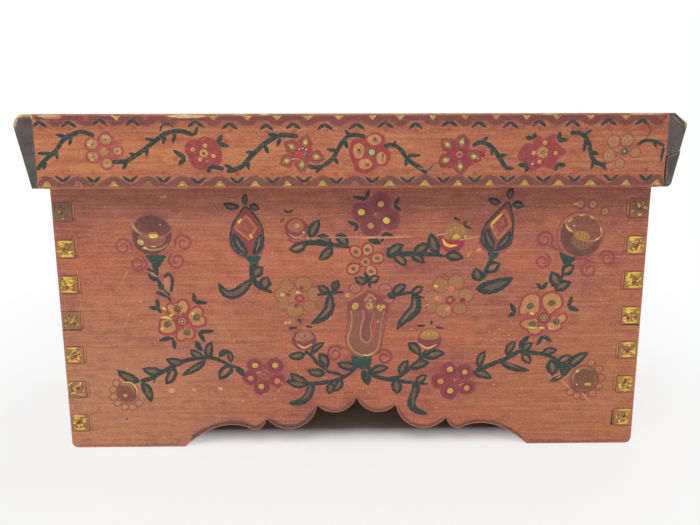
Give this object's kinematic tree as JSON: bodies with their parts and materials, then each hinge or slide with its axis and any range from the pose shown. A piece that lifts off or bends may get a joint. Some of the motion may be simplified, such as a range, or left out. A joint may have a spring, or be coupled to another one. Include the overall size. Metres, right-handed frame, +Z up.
{
  "type": "painted wooden box",
  "caption": "Finger-jointed wooden box for papers and keepsakes, painted with folk flowers, with a scalloped front apron and a hinged lid with overhanging rails.",
  "frame": {"origin": "on the floor under the middle of the closed box, at the middle of its bounding box's underside", "axes": "+X to the right as seen from the painted front, +Y towards the hinged back, +Z up"},
  "size_m": [0.34, 0.22, 0.1835],
  "materials": {
    "painted_wood": "terracotta paint, worn, with painted flowers on the front",
    "bare_wood": "unpainted, aged",
    "dark_painted_wood": "dark paint, worn to bare wood at the edges",
    "iron": "dark, lightly rusted",
    "steel": "dulled"
  },
  "bodies": {
    "box_body": {"front_board": "painted_wood", "back_board": "painted_wood", "left_side_board": "painted_wood", "right_side_board": "painted_wood", "bottom_board": "bare_wood", "bottom_nails_front": "iron", "bottom_nails_back": "iron", "bottom_nails_left": "iron", "bottom_nails_right": "iron", "left_hinge_body_leaf": "iron", "right_hinge_body_leaf": "iron", "left_hinge_pin": "steel", "right_hinge_pin": "steel", "hinge_body_screws": "steel"},
    "lid": {"lid_top_board": "painted_wood", "lid_front_rail": "painted_wood", "lid_left_rail": "dark_painted_wood", "lid_right_rail": "dark_painted_wood", "lid_right_rail_glued_corner": "dark_painted_wood", "lid_front_rail_brads": "iron", "lid_left_rail_nails": "iron", "lid_right_rail_nails": "iron", "left_hinge_lid_leaf": "iron", "right_hinge_lid_leaf": "iron", "hinge_lid_screws": "steel"}
  },
  "joints": [
    {"name": "lid_hinge", "type": "hinge", "parent": "box_body", "child": "lid", "pos_m": [0, 0.103, 0.16915], "axis": [-1, 0, 0], "range_deg": [0, 112]}
  ]
}
